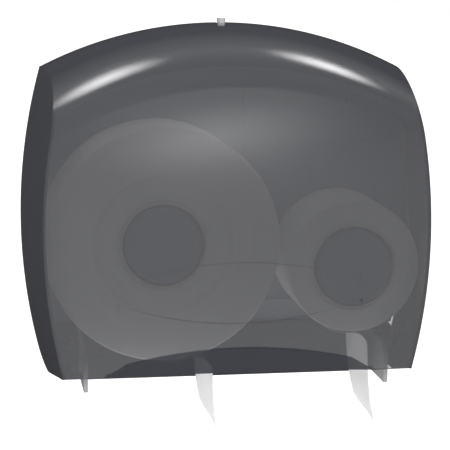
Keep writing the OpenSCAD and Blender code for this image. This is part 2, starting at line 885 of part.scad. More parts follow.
// Points of a paper tail seen from the front: lap on the roll, bend, then hanging curl,
// offset by side to one face of the paper
function tail_points(x, h, roll_r, exit_x, side) =
    let (
        lap_r = roll_r + tail_gap + tail_t / 2,
        turn = acos((exit_x - x - tail_bend_r) / (lap_r + tail_bend_r)),
        bend_x = exit_x - tail_bend_r,
        bend_h = h - (lap_r + tail_bend_r) * sin(turn),
        lap_deg = tail_lap * 180 / (PI * lap_r),
        curl_deg = asin((bend_h + tail_drop) / tail_curl_r)
    )
    concat(
        [for (i = [0 : tail_steps]) let (a = -turn - lap_deg * (1 - i / tail_steps))
            [x + (lap_r + side) * cos(a), level(h + (lap_r + side) * sin(a))]],
        [for (i = [1 : tail_steps]) let (a = (180 - turn) * (1 - i / tail_steps))
            [bend_x + (tail_bend_r - side) * cos(a), level(bend_h + (tail_bend_r - side) * sin(a))]],
        [for (i = [1 : tail_steps]) let (a = curl_deg * i / tail_steps)
            [exit_x + tail_curl_r - (tail_curl_r + side) * cos(a),
                level(bend_h - (tail_curl_r + side) * sin(a))]]
    );

// Hanging end of a roll's paper
module tail(x, h, roll_r, exit_x) {
    near = tail_points(x, h, roll_r, exit_x, -tail_t / 2);
    far = tail_points(x, h, roll_r, exit_x, tail_t / 2);
    torn = [
        [-roll_back, level(h)],
        [-roll_back, level(-tail_back_drop)],
        [-roll_front, level(-tail_drop)],
        [-roll_front, level(h)],
    ];
    color(paper_color) intersection() {
        translate([0, -roll_back, 0]) face_front() linear_extrude(paper_w)
            polygon(concat(near, [for (i = [len(far) - 1 : -1 : 0]) far[i]]));
        rotate([90, 0, 90]) translate([0, 0, -cover_w])
            linear_extrude(2 * cover_w) polygon(torn);
    }
}

module jumbo_tail() {
    tail(jumbo_x, jumbo_axle_h, jumbo_r, jumbo_x + jumbo_tail_out);
}

module stub_tail() {
    tail(stub_x, stub_axle_h, stub_r, stub_x + stub_tail_out);
}

module lock_housing() {
    color(dark_color) difference() {
        block(-housing_half_w, housing_half_w, plate_t, housing_front, housing_low_h, housing_top_h);
        bar_up(0, lock_back, housing_low_h - over, housing_top_h + over, lock_r + run_gap);
        for (side = [-1, 1]) {
            bar_out(side * housing_screw_x, (housing_low_h + housing_top_h) / 2, housing_screw_r,
                plate_t - over, housing_front);
            bar_out(side * housing_screw_x, (housing_low_h + housing_top_h) / 2,
                housing_screw_head_r, housing_seat, housing_front + over);
        }
    }
}

module lock_housing_screws() {
    color(steel_color) for (side = [-1, 1])
        small_screw(side * housing_screw_x, (housing_low_h + housing_top_h) / 2, housing_seat,
            housing_seat - plate_t, housing_screw_r, housing_screw_head_r - part_gap / 2);
}

module lock_spindle() {
    color(steel_color) difference() {
        union() {
            bar_up(0, lock_back, lock_low_h, lock_head_low_h + over, lock_r);
            bar_up(0, lock_back, lock_head_low_h, lock_top_h, lock_head_r);
        }
        block(-lock_head_r - over, lock_head_r + over, lock_back - lock_slot_w / 2,
            lock_back + lock_slot_w / 2, lock_top_h - lock_slot_d, lock_top_h + over);
    }
}

// Tongue that swings behind the catch; at rest it lies along the wall
module lock_tongue() {
    color(steel_color) difference() {
        union() {
            bar_up(0, lock_back, tongue_low_h, tongue_top_h, tongue_collar_r);
            block(0, tongue_l, lock_back - tongue_w / 2, lock_back + tongue_w / 2,
                tongue_low_h, tongue_top_h);
            block(tongue_l - tongue_lip_t, tongue_l, lock_back - tongue_w / 2,
                lock_back + tongue_w / 2, tongue_low_h, tongue_low_h + tongue_lip_h);
        }
        bar_up(0, lock_back, tongue_low_h - over, tongue_top_h + over, lock_r);
    }
}

module lock_nut() {
    color(steel_color) difference() {
        place(0, lock_back, tongue_low_h - nut_t) cylinder(r = nut_r, h = nut_t, $fn = 6);
        bar_up(0, lock_back, tongue_low_h - nut_t - over, tongue_low_h + over, lock_r);
    }
}

back_plate();
paper_apron();
apron_screws();
hinge_block_left();
hinge_block_right();
hinge_block_screws();
hinge_pins();
tear_plate_left();
tear_plate_right();
tear_plate_rivets();
cover_pads();
jumbo_post();
stub_post();
post_screws();
jumbo_friction_ring();
stub_friction_ring();
jumbo_retaining_washer();
stub_retaining_washer();
retaining_screws();
lock_housing();
lock_housing_screws();
lock_spindle();
lock_tongue();
lock_nut();
cover();
cover_catch();
hinge_bushes();
jumbo_hub();
jumbo_hub_cap();
jumbo_core();
jumbo_roll();
stub_hub();
stub_hub_cap();
stub_core();
stub_roll();
jumbo_tail();
stub_tail();
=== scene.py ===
"""Looks for a wall dispenser with one jumbo toilet roll and one stub roll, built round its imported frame.

All lengths are in metres. Heights called h are measured up from the cover's front lip, and depths called d
are measured out from the wall, so a point (x, d, h) lies at (x, -d, h + lip_z) in the frame.
"""

import json
import math
import types

import bmesh
import bpy
from mathutils import Matrix, Vector


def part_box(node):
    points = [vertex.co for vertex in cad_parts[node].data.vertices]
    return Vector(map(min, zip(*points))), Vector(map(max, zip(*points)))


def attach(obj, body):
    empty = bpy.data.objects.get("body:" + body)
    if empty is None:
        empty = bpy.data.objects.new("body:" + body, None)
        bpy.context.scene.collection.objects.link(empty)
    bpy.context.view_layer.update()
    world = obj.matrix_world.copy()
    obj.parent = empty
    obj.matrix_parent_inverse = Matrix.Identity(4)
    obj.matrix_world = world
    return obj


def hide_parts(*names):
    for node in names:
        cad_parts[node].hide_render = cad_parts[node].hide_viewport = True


bl_info = {
    "name": "Jumbo Roll Dispenser",
    "version": (1, 0, 0),
    "blender": (4, 5, 0),
    "location": "View3D > Sidebar > Dispenser",
    "description": "Builds the cover, rolls, hanging paper, finishes and studio of a wall roll dispenser",
    "category": "Add Mesh",
}

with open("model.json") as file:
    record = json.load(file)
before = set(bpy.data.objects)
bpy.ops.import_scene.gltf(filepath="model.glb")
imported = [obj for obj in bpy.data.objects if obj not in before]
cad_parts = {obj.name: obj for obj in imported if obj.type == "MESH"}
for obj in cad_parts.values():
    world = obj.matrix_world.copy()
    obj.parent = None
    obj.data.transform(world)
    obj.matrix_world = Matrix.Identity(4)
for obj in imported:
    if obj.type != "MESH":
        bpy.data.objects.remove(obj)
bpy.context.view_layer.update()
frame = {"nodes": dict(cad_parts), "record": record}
NODES = frame["nodes"]


def length(name, description, default, **limits):
    """A size property in metres."""
    return bpy.props.FloatProperty(
        name=name, description=description, default=default, unit="LENGTH", precision=4, **limits
    )


def colour(name, description, default):
    """A colour property, linear."""
    return bpy.props.FloatVectorProperty(
        name=name, description=description, default=default, subtype="COLOR", size=3, min=0, max=1
    )


def factor(name, description, default, low=0.0, high=1.0):
    """A plain number between two limits."""
    return bpy.props.FloatProperty(
        name=name, description=description, default=default, min=low, max=high, subtype="FACTOR"
    )


# ---------------------------------------------------------------- settings


class CoverSizes(bpy.types.PropertyGroup):
    """Sizes of the see-through cover."""

    lip_z: length("Lip level", "Z of the cover's front lip", -0.140)
    half_w: length("Half width", "Half of the cover's width at the wall", 0.2032)
    depth: length("Depth", "Distance from the wall to the front", 0.1466)
    top_r: length("Top radius", "Radius of the arched top at the wall", 0.3984)
    top_h: length("Top height", "Height of the top above the lip", 0.3292)
    side_r: length("Side radius", "Radius of the bowed sides at the wall", 0.565)
    side_mid_h: length("Widest height", "Height of the widest place", 0.1335)
    draft: factor("Draft", "How much the sides draw in per metre of depth", 0.121)
    shoulder_d: length("Shoulder depth", "Depth of the rounded shoulder", 0.137)
    shoulder_h: length("Shoulder height", "Height of the rounded shoulder", 0.056)
    wall: length("Wall", "Thickness of the cover", 0.0028)
    wall_gap: length("Wall gap", "Gap between the cover's back edge and the wall", 0.001)
    arch_h: length("Arch height", "Height of the scoop in the lower front", 0.0294)
    arch_r: length("Arch radius", "Radius of the scoop's top", 0.576)
    arch_half_w: length("Arch half width", "Half width at which the scoop's ends meet the lip", 0.1434)
    arch_end_angle: factor("Arch end angle", "Slope of the scoop's ends, in degrees", 30.0, 0, 90)
    arch_step: length("Arch step", "How far the scoop steps back at the lip", 0.0085)
    lens_h: length("Lens height", "Height of the raised lens", 0.059)
    lens_mid_h: length("Lens level", "Height of the middle of the lens", 0.079)
    lens_r: length("Lens radius", "Radius of the lens's two edges", 0.345)
    lens_rise: length("Lens rise", "How far the lens stands out", 0.0005)
    hinge_d: length("Hinge depth", "Distance of the hinge line from the wall", 0.024)
    ear_r: length("Ear radius", "Radius of the hinge ears", 0.010)
    ear_hole_r: length("Ear hole", "Radius of the holes in the hinge ears", 0.0047)
    ear_l: length("Ear length", "How far the hinge ears stand out of the inside of the wall", 0.007)
    ear_sink: length("Ear sink", "How far the hinge ears reach into the wall", 0.0008)
    ear_edge_w: length("Ear edge width", "Width of the ears' softened edges", 0.0005)
    edge_w: length("Edge width", "Width of the cover's softened edges", 0.0008)
    slot_r: length("Slot radius", "Half width of the lock's slot", 0.0047)
    slot_cut: length("Slot cut", "Height of the cut that makes the slot", 0.012)
    lock_d: length("Lock depth", "Distance of the lock spindle from the wall", 0.0085)
    web_x: length("Web start", "Distance of the corner webs from the middle", 0.150012)
    web_t: length("Web thickness", "Thickness of the webs across the lower front corners", 0.0018)
    web_l: length("Web length", "Reach of the webs back from the inside of the front", 0.024)


class RollSizes(bpy.types.PropertyGroup):
    """Sizes of the two paper rolls and their hanging ends."""

    edge_r: length("Edge radius", "Rounding of the rolls' edges", 0.0022)
    ripple: length("Ripple", "How uneven the wound paper is", 0.00035)
    jumbo_out: length("Jumbo tail", "Place of the jumbo roll's tail, right of its axle", 0.0455)
    stub_out: length("Stub tail", "Place of the stub roll's tail, right of its axle", 0.015)
    jumbo_skew: length("Jumbo tail skew", "How far the jumbo roll's tail turns to each side", 0.0030)
    stub_skew: length("Stub tail skew", "How far the stub roll's tail turns to each side", 0.0006)
    drop: length("Drop", "How far the tails hang below the lip", 0.067)
    back_rise: length("Back rise", "How much higher the tails end at the back", 0.008)
    lap: length("Lap", "Length of paper still lying on its roll", 0.026)
    bend_r: length("Bend radius", "Radius of the bend where a tail leaves its roll", 0.015)
    curl_r: length("Curl radius", "Radius of the curl in the hanging part", 0.340)
    thickness: length("Thickness", "Thickness of the hanging sheet", 0.0004)
    sway: length("Sway", "How far the hanging part waves from back to front", 0.0006)
    tear: length("Tear", "Height of the teeth along the torn end", 0.0005)
    ring_gap: length("Ring gap", "Spacing of the steps in the rolls' ends", 0.004)


class PlateSizes(bpy.types.PropertyGroup):
    """Sizes of the knock-out webs in the back plate's screw holes."""

    gap_x: length("Screw spacing across", "Distance between the screw holes across", 0.260)
    gap_z: length("Screw spacing up", "Distance between the screw holes upwards", 0.220)
    hole_r: length("Hole radius", "Radius of the screw holes", 0.00275)
    web_d: length("Web depth", "Distance of the webs from the wall", 0.0015)
    web_t: length("Web thickness", "Thickness of the webs", 0.0005)
    edge_w: length("Edge width", "Width of the webs' softened edges", 0.0001)


class Finishes(bpy.types.PropertyGroup):
    """Colours of the finishes, and how much the cover hides."""

    smoke: colour("Smoke", "Tint of the cover", (0.055, 0.057, 0.067))
    smoke_cover: factor("Smoke cover", "How much one face of the cover hides", 0.50)
    scoop_cover: factor("Scoop cover", "How much one face of the scoop hides", 0.80)
    plate: colour("Plate", "Back plate", (0.290, 0.300, 0.330))
    dark: colour("Dark plastic", "Blocks, posts and apron", (0.035, 0.035, 0.038))
    hub: colour("Hub", "Hubs and their caps", (0.160, 0.178, 0.204))
    fin: colour("Tear plate", "Toothed tear plates", (0.360, 0.360, 0.365))
    nylon: colour("Nylon", "Hinge bushes", (0.700, 0.690, 0.640))
    rubber: colour("Rubber", "Pads and friction rings", (0.020, 0.020, 0.020))
    steel: colour("Steel", "Screws, pins, lock and catch", (0.620, 0.620, 0.630))
    paper: colour("Paper", "Tissue", (0.900, 0.900, 0.900))
    board: colour("Board", "Cardboard cores", (0.780, 0.720, 0.620))


class Studio(bpy.types.PropertyGroup):
    """The camera, lamps and floor."""

    eye: bpy.props.FloatVectorProperty(
        name="Camera place", description="Where the camera stands", default=(-0.2473, -1.6056, 0.2532),
        subtype="TRANSLATION", unit="LENGTH", size=3, precision=4,
    )
    yaw: factor("Camera yaw", "Turn to the right, in degrees", 8.99338, -180, 180)
    pitch: factor("Camera pitch", "Turn down, in degrees", 9.51566, -90, 90)
    roll: factor("Camera roll", "Roll, in degrees", 0.41404, -180, 180)
    lens_mm: factor("Lens", "Focal length in millimetres on a 36 mm sensor", 127.401, 10, 500)
    ambient: factor("Ambient", "Strength of the even light", 1.0, 0, 5)
    floor_z: length("Floor level", "Z of the floor", -0.9)
    floor_shade: colour("Floor", "The floor's own colour", (0.74, 0.74, 0.74))
    floor_lift: factor("Floor lift", "Glow that brings the floor up to the background's white", 0.55)


GROUPS = {"dispenser_cover": CoverSizes, "dispenser_rolls": RollSizes,
          "dispenser_plate": PlateSizes, "dispenser_finish": Finishes, "dispenser_studio": Studio}


# ---------------------------------------------------------------- helpers


def place(x, d, h, lip_z):
    """Point at x, distance d from the wall and height h above the lip."""
    return Vector((x, -d, h + lip_z))


def new_object(bm, name):
    """Turns a bmesh into an object at the origin."""
    mesh = bpy.data.meshes.new(name)
    bm.to_mesh(mesh)
    bm.free()
    made = bpy.data.objects.new(name, mesh)
    bpy.context.scene.collection.objects.link(made)
    return made


def finish_mesh(bm, name, body, material, smooth=True):
    """Turns a bmesh into a piece that rides on a body."""
    piece = new_object(bm, name)
    for polygon in piece.data.polygons:
        polygon.use_smooth = smooth
    piece.data.materials.append(material)
    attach(piece, body)
    return piece


def modifier(piece, kind, name, **values):
    """Adds a modifier with the given settings."""
    made = piece.modifiers.new(name, kind)
    for key, value in values.items():
        setattr(made, key, value)


def soften(piece, width, segments=2):
    """Bevels the sharp edges of a piece."""
    modifier(piece, "BEVEL", "soft edges", width=width, segments=segments, limit_method="ANGLE",
             angle_limit=math.radians(40))


def apply_modifiers(piece):
    """Bakes every modifier of a piece into its mesh."""
    graph = bpy.context.evaluated_depsgraph_get()
    mesh = bpy.data.meshes.new_from_object(piece.evaluated_get(graph), depsgraph=graph)
    piece.modifiers.clear()
    piece.data = mesh


def grid_corners(bm, columns, rows):
    """The corners of a new sheet of columns by rows quads, as (vertex, column, row)."""
    made = bmesh.ops.create_grid(bm, x_segments=columns, y_segments=rows, size=1.0)
    return [(vert, round((vert.co.x + 1) / 2 * columns), round((vert.co.y + 1) / 2 * rows))
            for vert in made["verts"]]


def spin_outline(bm, corners, centre, axis, steps):
    """Spins a closed outline a full turn about an axis."""
    verts = [bm.verts.new(corner) for corner in corners]
    edges = [bm.edges.new((verts[k - 1], verts[k])) for k in range(len(verts))]
    bmesh.ops.spin(
        bm, geom=verts + edges, cent=centre, axis=axis, dvec=(0, 0, 0), angle=math.tau, steps=steps,
        use_merge=True, use_normal_flip=False, use_duplicate=False,
    )
    bmesh.ops.remove_doubles(bm, verts=bm.verts[:], dist=1e-6)
    bmesh.ops.recalc_face_normals(bm, faces=bm.faces[:])


def moved_verts(geometry):
    """The vertices in the geometry that an operator gives back."""
    return [item for item in geometry if isinstance(item, bmesh.types.BMVert)]


# ---------------------------------------------------------------- materials


def add_node(tree, kind, **values):
    """A new node with the given settings and socket values."""
    node = tree.nodes.new(kind)
    for key, value in values.items():
        if hasattr(node, key):
            setattr(node, key, value)
        else:
            node.inputs[key.replace("_", " ")].default_value = value
    return node


class Coat:
    """A new material with its Principled shader, and short ways to add and link its nodes."""

    def __init__(self, name, **values):
        self.material = bpy.data.materials.new(name)
        self.material.use_nodes = True
        self.tree = self.material.node_tree
        self.shader = self.tree.nodes["Principled BSDF"]
        for key, value in values.items():
            self.shader.inputs[key.replace("_", " ")].default_value = value

    def add(self, kind, **values):
        """A new node in this material."""
        return add_node(self.tree, kind, **values)

    def link(self, source, target):
        """Links an output to a socket, or to the shader's socket of that name."""
        self.tree.links.new(source, self.shader.inputs[target] if isinstance(target, str) else target)

    def spot(self, **change):
        """Object coordinates, moved or stretched where a Location or Scale is given."""
        spot = self.add("ShaderNodeTexCoord").outputs["Object"]
        if not change:
            return spot
        mapping = self.add("ShaderNodeMapping", **change)
        self.link(spot, mapping.inputs["Vector"])
        return mapping.outputs[0]

    def noise(self, vector, scale, detail, roughness=0.5):
        """Noise over a vector."""
        node = self.add("ShaderNodeTexNoise", Scale=scale, Detail=detail, Roughness=roughness)
        self.link(vector, node.inputs["Vector"])
        return node.outputs["Fac"]

    def between(self, value, low, high, start=0.0, stop=1.0, curve="LINEAR"):
        """Output that runs from low to high as a value runs from start to stop."""
        node = self.add("ShaderNodeMapRange", interpolation_type=curve, From_Min=start, From_Max=stop,
                        To_Min=low, To_Max=high)
        self.link(value, node.inputs["Value"])
        return node.outputs["Result"]

    def two_tone(self, mask, rgb, darkest):
        """Colour that runs from a darker shade to the colour itself along a mask."""
        mix = self.add("ShaderNodeMix", data_type="RGBA")
        mix.inputs[6].default_value = (*(c * darkest for c in rgb), 1)
        mix.inputs[7].default_value = (*rgb, 1)
        self.link(mask, mix.inputs[0])
        return mix.outputs[2]

    def relief(self, height, strength, distance):
        """Gives the surface the relief of a height."""
        bump = self.add("ShaderNodeBump", Strength=strength, Distance=distance)
        self.link(height, bump.inputs["Height"])
        self.link(bump.outputs["Normal"], "Normal")


def make_group(name, inputs, outputs):
    """(group, its input node, its output node) of a shader node group."""
    group = bpy.data.node_groups.new(name, "ShaderNodeTree")
    for label, kind, default in inputs:
        socket = group.interface.new_socket(name=label, in_out="INPUT", socket_type=kind)
        socket.default_value = default
    for label, kind in outputs:
        group.interface.new_socket(name=label, in_out="OUTPUT", socket_type=kind)
    return group, group.nodes.new("NodeGroupInput"), group.nodes.new("NodeGroupOutput")


def grain_group():
    """Fine moulded grain, broad shade drift and a light scatter of dust."""
    found = bpy.data.node_groups.get("moulded_grain")
    if found:
        return found
    group, start, end = make_group(
        "moulded_grain",
        [("Colour", "NodeSocketColor", (0.5, 0.5, 0.5, 1)), ("Grain Size", "NodeSocketFloat", 1400.0),
         ("Drift", "NodeSocketFloat", 0.10), ("Dust", "NodeSocketFloat", 0.05),
         ("Roughness", "NodeSocketFloat", 0.5), ("Height", "NodeSocketFloat", 0.00004)],
        [("Colour", "NodeSocketColor"), ("Roughness", "NodeSocketFloat"), ("Normal", "NodeSocketVector")],
    )
    link = group.links.new
    fine = add_node(group, "ShaderNodeTexNoise", Detail=2)
    broad = add_node(group, "ShaderNodeTexNoise", Scale=22, Detail=4)
    dust = add_node(group, "ShaderNodeTexNoise", Scale=900, Detail=3)
    spot = add_node(group, "ShaderNodeTexCoord").outputs["Object"]
    for noise in (fine, broad, dust):
        link(spot, noise.inputs["Vector"])
    link(start.outputs["Grain Size"], fine.inputs["Scale"])
    drift = add_node(group, "ShaderNodeMath", operation="MULTIPLY_ADD")
    link(broad.outputs["Fac"], drift.inputs[0])
    link(start.outputs["Drift"], drift.inputs[1])
    drift.inputs[2].default_value = 0.95
    shade = add_node(group, "ShaderNodeVectorMath", operation="SCALE")
    link(start.outputs["Colour"], shade.inputs[0])
    link(drift.outputs[0], shade.inputs["Scale"])
    speck = add_node(group, "ShaderNodeMapRange", From_Min=0.66, From_Max=0.74)
    link(dust.outputs["Fac"], speck.inputs["Value"])
    amount = add_node(group, "ShaderNodeMath", operation="MULTIPLY")
    link(speck.outputs["Result"], amount.inputs[0])
    link(start.outputs["Dust"], amount.inputs[1])
    mix = add_node(group, "ShaderNodeMix", data_type="RGBA")
    link(amount.outputs[0], mix.inputs[0])
    link(shade.outputs[0], mix.inputs[6])
    mix.inputs[7].default_value = (0.55, 0.55, 0.54, 1)
    link(mix.outputs[2], end.inputs["Colour"])
    rough = add_node(group, "ShaderNodeMath", operation="MULTIPLY_ADD")
    link(broad.outputs["Fac"], rough.inputs[0])
    rough.inputs[1].default_value = 0.12
    link(start.outputs["Roughness"], rough.inputs[2])
    link(rough.outputs[0], end.inputs["Roughness"])
    bump = add_node(group, "ShaderNodeBump", Strength=1.0)
    link(start.outputs["Height"], bump.inputs["Distance"])
    link(fine.outputs["Fac"], bump.inputs["Height"])
    link(bump.outputs["Normal"], end.inputs["Normal"])
    return group


def moulded(name, rgb, roughness, grain=1400.0, height=0.00004, dust=0.05):
    """Matt moulded plastic or rubber."""
    coat = Coat(name)
    group = coat.add("ShaderNodeGroup", node_tree=grain_group(), Colour=(*rgb, 1), Grain_Size=grain,
                     Dust=dust, Roughness=roughness, Height=height)
    coat.link(group.outputs["Colour"], "Base Color")
    coat.link(group.outputs["Roughness"], "Roughness")
    coat.link(group.outputs["Normal"], "Normal")
    return coat.material


def smoke_material(finish):
    """See-through smoke tinted plastic: it hides more where it is seen at a slant, and in the scoop."""
    coat = Coat("smoke_plastic", Base_Color=(*finish.smoke, 1), IOR=1.5, Specular_IOR_Level=1.0)
    haze = coat.noise(coat.spot(), 9.0, 3.0)
    coat.link(coat.between(haze, 0.11, 0.15), "Roughness")
    slant = coat.add("ShaderNodeFresnel", IOR=1.5)
    hide = coat.between(slant.outputs[0], finish.smoke_cover, 1.0, start=0.04, stop=0.34)
    scoop = coat.add("ShaderNodeAttribute", attribute_name="scoop")
    darker = coat.add("ShaderNodeMath", operation="MULTIPLY")
    coat.link(scoop.outputs["Fac"], darker.inputs[0])
    darker.inputs[1].default_value = finish.scoop_cover
    alpha = coat.add("ShaderNodeMath", operation="MAXIMUM")
    coat.link(hide, alpha.inputs[0])
    coat.link(darker.outputs[0], alpha.inputs[1])
    coat.link(alpha.outputs[0], "Alpha")
    return coat.material


def steel_material(finish):
    """Zinc plated steel with fine turning marks."""
    coat = Coat("plated_steel", Metallic=1.0)
    marks = coat.noise(coat.spot(Scale=(260, 260, 2600)), 1.0, 3.0)
    coat.link(coat.between(marks, 0.26, 0.42), "Roughness")
    coat.link(coat.two_tone(marks, finish.steel, 0.85), "Base Color")
    coat.relief(marks, 0.4, 0.00003)
    return coat.material


def tissue_material(name, finish, rings_at=None):
    """Soft white tissue; with rings_at, the layers of a wound roll round that axis show on its ends."""
    coat = Coat(name, Sheen_Weight=0.25, Sheen_Roughness=0.6, Specular_IOR_Level=0.2)
    spot = coat.spot()
    crepe = coat.noise(spot, 850.0, 4.0, 0.65)
    cloud = coat.noise(spot, 28.0, 3.0)
    shade = coat.two_tone(cloud, finish.paper, 0.93)
    height = crepe
    if rings_at is not None:
        flat = coat.add("ShaderNodeVectorMath", operation="MULTIPLY")
        coat.link(coat.spot(Location=(-rings_at[0], 0, -rings_at[1])), flat.inputs[0])
        flat.inputs[1].default_value = (1, 0, 1)
        radius = coat.add("ShaderNodeVectorMath", operation="LENGTH")
        coat.link(flat.outputs[0], radius.inputs[0])
        along = coat.add("ShaderNodeCombineXYZ")
        coat.link(radius.outputs["Value"], along.inputs[0])
        layers = coat.noise(along.outputs[0], 1500.0, 2.0)
        bands = coat.noise(along.outputs[0], 160.0, 2.0)
        depth = coat.add("ShaderNodeMix", data_type="FLOAT")
        depth.inputs[0].default_value = 0.6
        coat.link(crepe, depth.inputs[2])
        coat.link(layers, depth.inputs[3])
        height = depth.outputs[0]
        ringed = coat.add("ShaderNodeVectorMath", operation="SCALE")
        coat.link(shade, ringed.inputs[0])
        coat.link(coat.between(bands, 0.90, 1.0, start=0.35, stop=0.65), ringed.inputs["Scale"])
        shade = ringed.outputs[0]
    coat.link(shade, "Base Color")
    coat.link(coat.between(crepe, 0.85, 1.0), "Roughness")
    coat.relief(height, 0.6, 0.00025)
    return coat.material


def board_material(finish):
    """Grey-brown board with flecks of fibre."""
    coat = Coat("core_board")
    fibre = coat.noise(coat.spot(Scale=(500, 90, 500)), 1.0, 5.0, 0.7)
    coat.link(coat.two_tone(fibre, finish.board, 0.7), "Base Color")
    coat.link(coat.between(fibre, 0.75, 0.95), "Roughness")
    coat.relief(fibre, 0.5, 0.0001)
    return coat.material


# ---------------------------------------------------------------- cover

LEAST_ARCH = 0.0015  # height of the front's lowest rows where there is no scoop
SCOOP_ARCH = 0.0016  # least height of the arch over a column that lies in the scoop
LEAST_LENS = 0.006  # distance kept between the lens's edges outside it
HALVINGS = 24  # rounds that find the arch's height
SETTLINGS = 12  # rounds that settle a point's place across the front
LOW_ROWS = 5  # rows of the sides below the lip


def half_width(s, h, d):
    """Half width of the cover at a height and a depth."""
    return math.sqrt((s.side_r - s.draft * d) ** 2 - (h - s.side_mid_h) ** 2) - (s.side_r - s.half_w)


def crown_depth(s, r):
    """Depth of the cover's front at a distance r from the axis of its arched top."""
    dome_r = s.top_r - s.shoulder_h
    if r <= dome_r:
        return s.depth - (s.depth - s.shoulder_d) * (r / dome_r) ** 2
    return s.shoulder_d * math.sqrt(max(0.0, 1 - ((r - dome_r) / s.shoulder_h) ** 2))


def scoop_depth(s, x, h):
    """Depth of the scoop below the arch, which lies in front of the dome outside the arch."""
    low_r = s.arch_r - s.arch_h
    slope = s.arch_step / s.arch_h
    angle = math.radians(s.arch_end_angle)
    from_end = (s.arch_half_w - abs(x)) * math.sin(angle) - h * math.cos(angle)
    from_low = math.hypot(x, h + low_r) - low_r
    return s.depth + slope * max(from_low - s.arch_h, -from_end)


def arch_height(s, x):
    """Height at which the scoop runs out into the front, or a little where there is no scoop."""
    axis_h = s.top_h - s.top_r
    low, high = 0.0, s.arch_h * 1.2
    if scoop_depth(s, x, low) >= crown_depth(s, math.hypot(x, low - axis_h)):
        return LEAST_ARCH
    for _ in range(HALVINGS):
        mid = (low + high) / 2
        if scoop_depth(s, x, mid) < crown_depth(s, math.hypot(x, mid - axis_h)):
            low = mid
        else:
            high = mid
    return max(low, LEAST_ARCH)


def lens_edges(s, x):
    """Heights of the lower and upper edge of the lens, kept a little apart outside it."""
    shift = s.lens_r - s.lens_h / 2
    reach = math.sqrt(max(0.0, s.lens_r ** 2 - x ** 2))
    low, high = s.lens_mid_h + shift - reach, s.lens_mid_h - shift + reach
    if high - low < LEAST_LENS:
        low, high = s.lens_mid_h - LEAST_LENS / 2, s.lens_mid_h + LEAST_LENS / 2
    return low, high


def front_rows():
    """The front's rows as (band, share): band 0 to the arch, 1 to the lens, 2 lens, 3 dome, 4 shoulder."""
    rows = [(0, t) for t in (0.0, 0.15, 0.32, 0.5, 0.68, 0.84, 0.94)]
    rows += [(1, t) for t in (0.0, 0.05, 0.16, 0.32, 0.5, 0.68, 0.84, 1.0)]
    rows += [(2, t) for t in (0.008, 0.06, 0.14, 0.24, 0.36, 0.5, 0.64, 0.76, 0.86, 0.94, 0.992)]
    rows += [(3, k / 22) for k in range(22)]
    rows += [(4, k / 44) for k in range(45)]
    return rows


def front_point(s, share_x, band, t):
    """(x, d, h) on the cover's front at a share of its half width, in a band, at a share of that band."""
    axis_h = s.top_h - s.top_r
    dome_r = s.top_r - s.shoulder_h
    last = math.acos(s.wall_gap / s.shoulder_d)
    x = share_x * s.half_w * 0.95
    for _ in range(SETTLINGS):
        rise = 0.0
        if band == 4:
            a = t * last
            r = dome_r + s.shoulder_h * math.sin(a)
            d = s.shoulder_d * math.cos(a)
            h = axis_h + math.sqrt(r * r - x * x)
        else:
            arch = arch_height(s, x)
            low, high = lens_edges(s, x)
            top = axis_h + math.sqrt(dome_r ** 2 - x * x)
            marks = (0.0, arch, low, high, top)
            h = marks[band] + (marks[band + 1] - marks[band]) * t
            d = min(crown_depth(s, math.hypot(x, h - axis_h)), scoop_depth(s, x, h))
            if band == 2:
                rise = s.lens_rise * max(0.0, (high - low - LEAST_LENS) / (s.lens_h - LEAST_LENS))
        x = share_x * half_width(s, h, d)
    return x, d + rise, h


def low_edge(s, d):
    """Height of the side's lower edge at a depth: a round back corner, then a line up to the lip."""
    r = s.hinge_d - s.wall_gap
    touch = math.acos(r / (s.depth - s.hinge_d))
    touch_d = s.hinge_d + r * math.cos(touch)
    touch_h = -r * math.sin(touch)
    if d >= touch_d:
        return touch_h * (s.depth - d) / (s.depth - touch_d)
    return -math.sqrt(max(0.0, r * r - (d - s.hinge_d) ** 2))


def side_depths(s, front):
    """Depths of the side's columns from its front edge back to the wall, close together at the corner."""
    r = s.hinge_d - s.wall_gap
    turn = math.pi - math.acos(r / (s.depth - s.hinge_d))
    corner_steps, run_steps = 14, 10
    corner = [s.hinge_d - r * math.cos(turn * k / corner_steps) for k in range(corner_steps + 1)]
    run = [corner[-1] + (front - corner[-1]) * k / run_steps for k in range(1, run_steps + 1)]
    return list(reversed(corner + run))


def cover_panels(s, columns):
    """The cover's face as grids: (columns, rows, place of each corner). Front first, then both sides."""
    rows = front_rows()
    panels = [(columns, len(rows) - 1,
               lambda i, j: place(*front_point(s, 2 * i / columns - 1, *rows[j]), s.lip_z))]
    for side in (-1, 1):
        edge = [front_point(s, side, band, t) for band, t in rows]
        depths = side_depths(s, edge[0][1])
        count = len(depths) - 1

        def above(i, j, side=side, edge=edge, depths=depths):
            _, front, h = edge[j]
            share = (depths[0] - depths[i]) / (depths[0] - depths[-1])
            d = front + (s.wall_gap - front) * share
            return place(side * half_width(s, h, d), d, h, s.lip_z)

        def below(i, j, side=side, depths=depths):
            h = low_edge(s, depths[i]) * (j / LOW_ROWS)
            return place(side * half_width(s, h, depths[i]), depths[i], h, s.lip_z)

        panels += [(count, len(rows) - 1, above), (count, LOW_ROWS, below)]
    return panels


def inner_sizes(s):
    """The cover's sizes with every face moved in by its wall."""
    inner = types.SimpleNamespace(**{key: getattr(s, key) for key in CoverSizes.__annotations__})
    for key in ("half_w", "side_r", "depth", "shoulder_d", "top_r", "shoulder_h", "top_h"):
        setattr(inner, key, getattr(s, key) - s.wall)
    return inner


